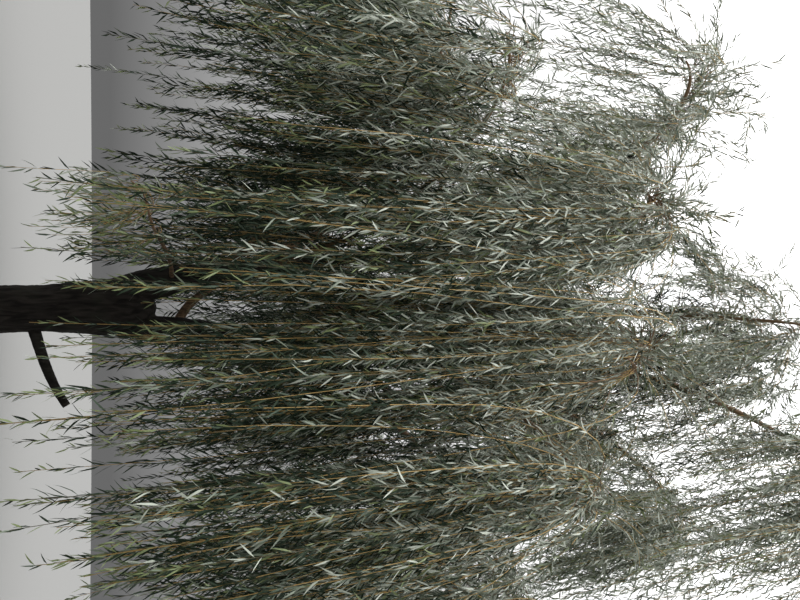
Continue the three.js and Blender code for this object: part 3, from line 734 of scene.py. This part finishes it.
def barkMaterial(name, grain, dark, light, moss):  # ridges along the wood, with mossy patches
    material = bpy.data.materials.new(name)
    material.use_nodes = True
    nodes, links = material.node_tree.nodes, material.node_tree.links
    shader = nodes["Principled BSDF"]
    shader.inputs["Roughness"].default_value = bark["roughness"]
    shader.inputs["Specular IOR Level"].default_value = bark["shine"]
    position = nodes.new("ShaderNodeTexCoord")
    mapping = nodes.new("ShaderNodeMapping")
    mapping.inputs["Scale"].default_value = grain
    links.new(position.outputs["Object"], mapping.inputs["Vector"])
    ridges = nodes.new("ShaderNodeTexNoise")
    ridges.inputs["Scale"].default_value = 1.0
    ridges.inputs["Detail"].default_value = bark["ridgeDetail"]
    ridges.inputs["Distortion"].default_value = bark["ridgeDistortion"]
    links.new(mapping.outputs["Vector"], ridges.inputs["Vector"])
    tones = ramp(nodes, bark["tones"], dark, light)
    links.new(ridges.outputs["Fac"], tones.inputs["Fac"])
    patches = nodes.new("ShaderNodeTexNoise")
    patches.inputs["Scale"].default_value = bark["patchScale"]
    patches.inputs["Detail"].default_value = bark["patchDetail"]
    links.new(position.outputs["Object"], patches.inputs["Vector"])
    edges = ramp(nodes, bark["patchEdges"])
    links.new(patches.outputs["Fac"], edges.inputs["Fac"])
    blend = nodes.new("ShaderNodeMix")
    blend.data_type = "RGBA"
    blend.inputs["B"].default_value = (*moss, 1)
    links.new(edges.outputs["Color"], blend.inputs["Factor"])
    links.new(tones.outputs["Color"], blend.inputs["A"])
    links.new(blend.outputs["Result"], shader.inputs["Base Color"])
    bump = nodes.new("ShaderNodeBump")
    bump.inputs["Strength"].default_value = bark["bump"]
    bump.inputs["Distance"].default_value = bark["bumpDepth"]
    links.new(ridges.outputs["Fac"], bump.inputs["Height"])
    links.new(bump.outputs["Normal"], shader.inputs["Normal"])
    return material


# The old bark's grey-brown and its moss are darkened nearly to black as painted shade for the shaded trunk.
barkOldShaded = barkMaterial("bark_furrowed", grain=(26, 26, 5), dark=(0.005, 0.004, 0.003),
                       light=(0.027, 0.023, 0.019), moss=(0.026, 0.028, 0.019))
barkYoung = barkMaterial("bark_smooth", grain=(40, 40, 12), dark=(0.055, 0.036, 0.022),
                         light=(0.180, 0.112, 0.062), moss=(0.11, 0.10, 0.07))
cutWood = newMaterial("cut_wood", (0.10, 0.08, 0.06), 0.9)


def around(verts, links):  # the edges or faces at some vertices, each once and always in the same order
    return list(dict.fromkeys(found for vert in verts for found in getattr(vert, links)))


def growRings(bm, centres, radiiAt, sides):  # a limb: a ring drawn along its centreline and closed
    ahead = unit(np.gradient(centres, axis=0))
    turn = Vector(ahead[0]).to_track_quat("Z", "Y")
    ring = bmesh.ops.create_circle(bm, cap_ends=True, segments=sides, radius=1.0)["verts"]
    seat = Matrix.Translation(Vector(centres[0])) @ turn.to_matrix().to_4x4() @ Matrix.Scale(radiiAt[0], 4)
    bmesh.ops.transform(bm, matrix=seat, verts=ring)
    edges = around(ring, "link_edges")
    bmesh.ops.reverse_faces(bm, faces=around(ring, "link_faces"))
    for i in range(1, len(centres)):
        grown = bmesh.ops.extrude_edge_only(bm, edges=edges)["geom"]
        ring = [g for g in grown if isinstance(g, bmesh.types.BMVert)]
        edges = [g for g in grown if isinstance(g, bmesh.types.BMEdge)]
        swing = Vector(ahead[i - 1]).rotation_difference(Vector(ahead[i])).to_matrix().to_4x4()
        grow = Matrix.Scale(radiiAt[i] / radiiAt[i - 1], 4)
        back, forth = Matrix.Translation(-Vector(centres[i - 1])), Matrix.Translation(Vector(centres[i]))
        bmesh.ops.transform(bm, matrix=forth @ swing @ grow @ back, verts=ring)
    return bmesh.ops.contextual_create(bm, geom=edges)["faces"]


boughMesh = {"sides": 14, "stubSides": 20, "steps": 44, "grain": (22, 22, 9),
             "fractal": (0.9, 2.1, 3, 1.0, 2.0), "ridgeMiddle": 1.2, "ridgeDepth": 0.0022}


def growBoughs():  # the main boughs and the cut stub
    materials = [barkYoung, cutWood, barkOldShaded]
    bm = bmesh.new()
    at = np.linspace(0, 1, boughMesh["steps"]) ** limbShape["crowding"]
    for plan in boughPlan + stubPlan:
        sides = boughMesh["stubSides" if plan in stubPlan else "sides"]
        before = len(bm.faces)
        cap = growRings(bm, bezier(curves[plan["name"]], at), limbRadius(plan, at), sides)
        if plan in stubPlan:  # old bark, darkened with painted shade, all along, and bare wood where it is cut
            bm.faces.ensure_lookup_table()
            for face in bm.faces[before:]:
                face.material_index = materials.index(barkOldShaded)
            cap[0].material_index = materials.index(cutWood)
    bmesh.ops.recalc_face_normals(bm, faces=bm.faces)
    for vert in bm.verts:
        stretch = Vector([value * grain for value, grain in zip(vert.co, boughMesh["grain"])])
        ridge = noise.ridged_multi_fractal(stretch, *boughMesh["fractal"])
        vert.co += vert.normal * (ridge - boughMesh["ridgeMiddle"]) * boughMesh["ridgeDepth"]
    for face in bm.faces:
        face.smooth = len(face.verts) == 4  # the caps have more corners, and stay flat
    mesh = bpy.data.meshes.new("bark_boughs")
    bm.to_mesh(mesh)
    bm.free()
    for material in materials:
        mesh.materials.append(material)
    piece = bpy.data.objects.new("bark_boughs", mesh)
    scene.collection.objects.link(piece)
    return piece


boughs = growBoughs()
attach(boughs, "root")
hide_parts(*[plan["name"] for plan in boughPlan + stubPlan])
print("boughs grown:", len(boughs.data.polygons), "faces")


trunkMesh = {"sides": 96, "rings": 60, "crowding": 1.35, "limbSides": 32, "limbSteps": 70, "voxel": 0.0125,
             "forkSwell": 0.5, "forkAt": 0.09, "forkFade": 0.06, "footRim": 0.05, "footFlat": 0.012,
             "grain": (15, 15, 2.6), "warpScale": 3.0, "warp": 0.8, "fractal": (0.9, 2.2, 3, 1.0, 2.0),
             "ridgeMiddle": 1.25, "ridgeDepth": 0.011, "ridgeFade": (0.15, 1.25, 6)}


def trunkRings(bm):  # oval towards the fork, flared at the roots and rounded off at the top
    ring = bmesh.ops.create_circle(bm, cap_ends=True, segments=trunkMesh["sides"], radius=1.0)["verts"]
    bmesh.ops.reverse_faces(bm, faces=around(ring, "link_faces"))
    edges = around(ring, "link_edges")
    angleOf = {v: math.atan2(v.co.y, v.co.x) for v in ring}
    for i in range(trunkMesh["rings"] + 1):
        share = 1 - (1 - i / trunkMesh["rings"]) ** trunkMesh["crowding"]
        centre = bezier(curves["trunk"], share)
        if i:
            grown = bmesh.ops.extrude_edge_only(bm, edges=edges)["geom"]
            edges = [g for g in grown if isinstance(g, bmesh.types.BMEdge)]
            below, angleOf = angleOf, {}
            for v in [g for g in grown if isinstance(g, bmesh.types.BMVert)]:
                angleOf[v] = next(below[e.other_vert(v)] for e in v.link_edges if e.other_vert(v) in below)
        rise = centre[2] - trunk["height"] * trunk["crotchFrom"]
        crotch = min(1, max(0, rise / (trunk["height"] * trunk["crotchOver"])))
        crotch = crotch * crotch * (3 - 2 * crotch)
        past = max(0, (share - trunk["roundedFrom"]) / trunk["roundedOver"])
        rounded = math.sqrt(max(trunk["roundedLeast"], 1 - past ** 2))
        for v, a in angleOf.items():
            middle, swing = trunk["flareWave"]
            root = middle + swing * math.cos(trunk["flareRoots"] * a + trunk["flareTurn"])
            flare = 1 + trunk["flareSpread"] * root * math.exp(-centre[2] / trunk["flareHeight"])
            wide = mix(trunk["radius"], trunk["crotch"], crotch) * flare * rounded
            deep = trunk["radius"] * flare * rounded
            v.co = (centre[0] + math.cos(a) * wide, centre[1] + math.sin(a) * deep, centre[2])
    bmesh.ops.contextual_create(bm, geom=edges)


def fuseTrunk():  # the trunk and the fork's limbs as one skin
    bm = bmesh.new()
    trunkRings(bm)
    at = np.linspace(0, 1, trunkMesh["limbSteps"])
    swell = 1 + trunkMesh["forkSwell"] * np.exp(-((at - trunkMesh["forkAt"]) / trunkMesh["forkFade"]) ** 2)
    for plan in forkPlan:
        radii = limbRadius(plan, at) * swell
        growRings(bm, bezier(curves[plan["name"]], at), radii, trunkMesh["limbSides"])
    bmesh.ops.recalc_face_normals(bm, faces=bm.faces)
    mesh = bpy.data.meshes.new("trunk_parts")
    bm.to_mesh(mesh)
    bm.free()
    piece = bpy.data.objects.new("bark_trunk_and_limbs", mesh)
    scene.collection.objects.link(piece)
    skin = piece.modifiers.new("skin", "REMESH")
    skin.mode = "VOXEL"
    skin.voxel_size = trunkMesh["voxel"]
    skin.use_smooth_shade = True
    fused = bpy.data.meshes.new_from_object(piece.evaluated_get(bpy.context.evaluated_depsgraph_get()))
    piece.modifiers.clear()
    piece.data = fused
    bpy.data.meshes.remove(mesh)
    fused.name = "bark_trunk_and_limbs"
    return piece


def furrow(mesh):  # ridges of bark, shallower higher up, and a flat foot on the ground
    bm = bmesh.new()
    bm.from_mesh(mesh)
    above = [v for v in bm.verts if v.co.z > trunkMesh["footRim"]]
    bmesh.ops.smooth_vert(bm, verts=above, factor=0.5, use_axis_x=True, use_axis_y=True, use_axis_z=True)
    bm.normal_update()
    least, most, fade = trunkMesh["ridgeFade"]
    alongX, alongY, alongZ = trunkMesh["grain"]
    for vert in bm.verts:
        if vert.co.z < trunkMesh["footFlat"]:
            vert.co.z = 0
            continue
        depth = trunkMesh["ridgeDepth"] * min(1, max(least, most - vert.co.z / fade))
        warp = noise.noise(vert.co * trunkMesh["warpScale"]) * trunkMesh["warp"]
        stretch = Vector((vert.co.x * alongX + warp, vert.co.y * alongY - warp, vert.co.z * alongZ))
        ridge = noise.ridged_multi_fractal(stretch, *trunkMesh["fractal"])
        vert.co += vert.normal * (ridge - trunkMesh["ridgeMiddle"]) * depth
    for face in bm.faces:
        face.smooth = True
    bm.to_mesh(mesh)
    bm.free()


trunkPiece = fuseTrunk()
furrow(trunkPiece.data)
trunkPiece.data.materials.append(barkOldShaded)
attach(trunkPiece, "root")
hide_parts("trunk", "limb_left", "leader")
print("trunk and limbs skinned:", len(trunkPiece.data.polygons), "faces")


# The sky gets brighter upwards. Each of its grades is a height from 0 to 1 and a shade of grey.
stage = {"floorRadius": 60.0, "floorSides": 96, "floorColour": (0.20, 0.20, 0.195), "floorDrop": 0.002,
         "floorRoughness": 0.9, "floorShine": 0.2, "skyStrength": 2.8,
         "sky": ((0.0, 0.05), (0.26, 0.18), (0.50, 0.38), (1.0, 1.0)), "overhead": 2.2,
         "overheadAngle": 90, "overheadTurn": (18, -8, 0)}


def layFloor():
    bm = bmesh.new()
    bmesh.ops.create_circle(bm, cap_ends=True, segments=stage["floorSides"], radius=stage["floorRadius"])
    bmesh.ops.translate(bm, vec=(0, 0, -stage["floorDrop"]), verts=bm.verts)
    mesh = bpy.data.meshes.new("floor")
    bm.to_mesh(mesh)
    bm.free()
    mesh.materials.append(newMaterial("floor_pale", stage["floorColour"], stage["floorRoughness"],
                                      stage["floorShine"]))
    piece = bpy.data.objects.new("floor", mesh)
    scene.collection.objects.link(piece)
    return piece


def lightSky():  # an overcast sky, and a soft light from overhead
    world = bpy.data.worlds.new("overcast")
    scene.world = world
    world.use_nodes = True
    nodes, links = world.node_tree.nodes, world.node_tree.links
    sky = nodes["Background"]
    sky.inputs["Strength"].default_value = stage["skyStrength"]
    direction = nodes.new("ShaderNodeTexCoord")
    height = nodes.new("ShaderNodeSeparateXYZ")
    shades = nodes.new("ShaderNodeValToRGB")
    for grade in stage["sky"][2:]:
        shades.color_ramp.elements.new(grade[0])
    for element, (position, grey) in zip(shades.color_ramp.elements, stage["sky"]):
        element.position, element.color = position, (grey, grey, grey, 1)
    links.new(direction.outputs["Generated"], height.inputs["Vector"])
    links.new(height.outputs["Z"], shades.inputs["Fac"])
    links.new(shades.outputs["Color"], sky.inputs["Color"])
    overhead = bpy.data.lights.new("overhead", "SUN")
    overhead.energy = stage["overhead"]
    overhead.angle = math.radians(stage["overheadAngle"])
    lamp = bpy.data.objects.new("overhead", overhead)
    lamp.rotation_euler = [math.radians(angle) for angle in stage["overheadTurn"]]
    scene.collection.objects.link(lamp)


viewpoint = {"place": (-0.09, -7.0, 1.6), "tilt": 24.1, "lens": 29.1, "sensor": 36}


def placeCamera():
    optics = bpy.data.cameras.new("camera")
    optics.sensor_width = viewpoint["sensor"]
    optics.lens = viewpoint["lens"]
    camera = bpy.data.objects.new("camera", optics)
    tilt = math.radians(viewpoint["tilt"])
    up, ahead = Vector((0, -math.sin(tilt), math.cos(tilt))), Vector((0, math.cos(tilt), math.sin(tilt)))
    turned = Matrix((up, Vector((-1, 0, 0)), -ahead)).transposed()  # a quarter turn, as the photograph lies
    camera.matrix_world = Matrix.Translation(viewpoint["place"]) @ turned.to_4x4()
    scene.collection.objects.link(camera)
    scene.camera = camera


floor = layFloor()
lightSky()
placeCamera()
scene.view_settings.view_transform = "Standard"
print("floor, sky and camera set")
